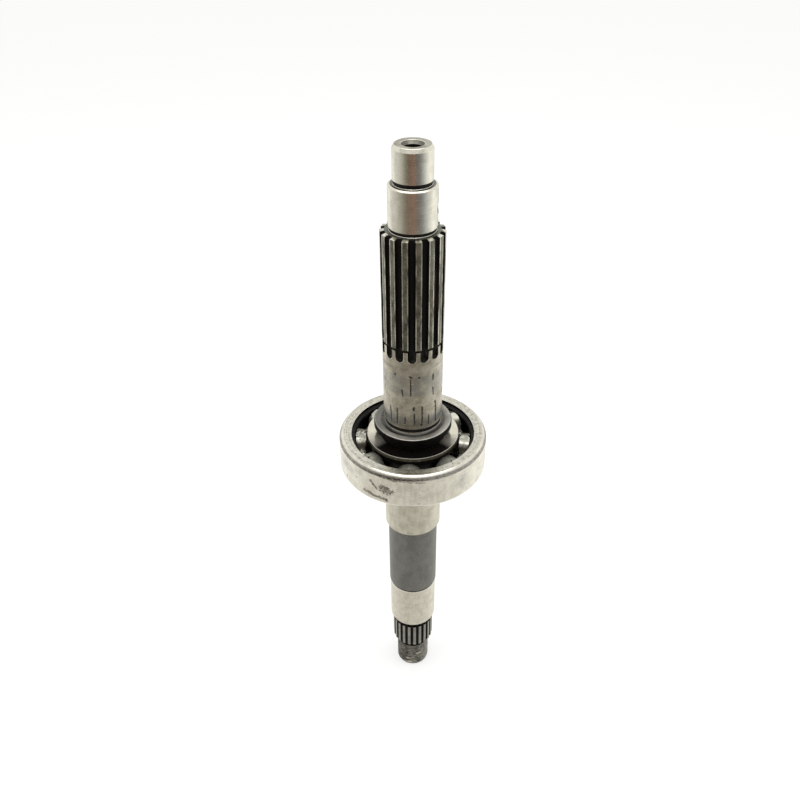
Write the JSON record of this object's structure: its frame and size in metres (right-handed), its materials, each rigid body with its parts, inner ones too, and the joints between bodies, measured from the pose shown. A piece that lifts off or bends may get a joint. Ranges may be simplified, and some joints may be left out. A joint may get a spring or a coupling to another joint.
{
  "type": "transmission input shaft",
  "caption": "Stepped splined shaft with ground journals, a thrust collar on a short neck, a threaded end and a pressed-on deep-groove ball bearing whose outer ring turns freely.",
  "frame": {"origin": "centre of the threaded end's face, on which the shaft stands", "axes": "+Z along the shaft, towards its drilled end; -Y is the side that the picture shows"},
  "size_m": [0.072, 0.072, 0.311],
  "materials": {
    "shaft_steel": "ground journals, black in the spline gaps, dark satin between the lower journals",
    "ring_steel": "ground and worn, with brown stains",
    "ball_steel": "polished, with dark specks",
    "cage_steel": "pressed sheet, rubbed bright, with dark specks",
    "rivet_steel": "dull"
  },
  "bodies": {
    "shaft": {"shaft": "shaft_steel", "bearing_inner_ring": "ring_steel"},
    "outer_ring": {"bearing_outer_ring": "ring_steel"},
    "cage": {"cage_upper": "cage_steel", "cage_lower": "cage_steel", "cage_rivet_1": "rivet_steel", "cage_rivet_2": "rivet_steel", "cage_rivet_3": "rivet_steel", "cage_rivet_4": "rivet_steel", "cage_rivet_5": "rivet_steel", "cage_rivet_6": "rivet_steel", "cage_rivet_7": "rivet_steel", "cage_rivet_8": "rivet_steel"},
    "ball_1": {"ball_1": "ball_steel"},
    "ball_2": {"ball_2": "ball_steel"},
    "ball_3": {"ball_3": "ball_steel"},
    "ball_4": {"ball_4": "ball_steel"},
    "ball_5": {"ball_5": "ball_steel"},
    "ball_6": {"ball_6": "ball_steel"},
    "ball_7": {"ball_7": "ball_steel"},
    "ball_8": {"ball_8": "ball_steel"}
  },
  "joints": [
    {"name": "outer_ring_spin", "type": "hinge", "parent": "shaft", "child": "outer_ring", "pos_m": [0, 0, 0.1612], "axis": [0, 0, 1], "continuous": true},
    {"name": "cage_spin", "type": "hinge", "parent": "shaft", "child": "cage", "pos_m": [0, 0, 0.1612], "axis": [0, 0, 1], "continuous": true},
    {"name": "ball_1_spin", "type": "hinge", "parent": "cage", "child": "ball_1", "pos_m": [-0.00178, -0.02544, 0.1612], "axis": [0, 0, 1], "continuous": true},
    {"name": "ball_2_spin", "type": "hinge", "parent": "cage", "child": "ball_2", "pos_m": [0.01673, -0.01925, 0.1612], "axis": [0, 0, 1], "continuous": true},
    {"name": "ball_3_spin", "type": "hinge", "parent": "cage", "child": "ball_3", "pos_m": [0.02544, -0.00178, 0.1612], "axis": [0, 0, 1], "continuous": true},
    {"name": "ball_4_spin", "type": "hinge", "parent": "cage", "child": "ball_4", "pos_m": [0.01925, 0.01673, 0.1612], "axis": [0, 0, 1], "continuous": true},
    {"name": "ball_5_spin", "type": "hinge", "parent": "cage", "child": "ball_5", "pos_m": [0.00178, 0.02544, 0.1612], "axis": [0, 0, 1], "continuous": true},
    {"name": "ball_6_spin", "type": "hinge", "parent": "cage", "child": "ball_6", "pos_m": [-0.01673, 0.01925, 0.1612], "axis": [0, 0, 1], "continuous": true},
    {"name": "ball_7_spin", "type": "hinge", "parent": "cage", "child": "ball_7", "pos_m": [-0.02544, 0.00178, 0.1612], "axis": [0, 0, 1], "continuous": true},
    {"name": "ball_8_spin", "type": "hinge", "parent": "cage", "child": "ball_8", "pos_m": [-0.01925, -0.01673, 0.1612], "axis": [0, 0, 1], "continuous": true}
  ],
  "couplings": [
    {"joint": "cage_spin", "follows": "outer_ring_spin", "ratio": 0.62059},
    {"joint": "ball_1_spin", "follows": "outer_ring_spin", "ratio": 1.9526},
    {"joint": "ball_2_spin", "follows": "outer_ring_spin", "ratio": 1.9526},
    {"joint": "ball_3_spin", "follows": "outer_ring_spin", "ratio": 1.9526},
    {"joint": "ball_4_spin", "follows": "outer_ring_spin", "ratio": 1.9526},
    {"joint": "ball_5_spin", "follows": "outer_ring_spin", "ratio": 1.9526},
    {"joint": "ball_6_spin", "follows": "outer_ring_spin", "ratio": 1.9526},
    {"joint": "ball_7_spin", "follows": "outer_ring_spin", "ratio": 1.9526},
    {"joint": "ball_8_spin", "follows": "outer_ring_spin", "ratio": 1.9526}
  ]
}
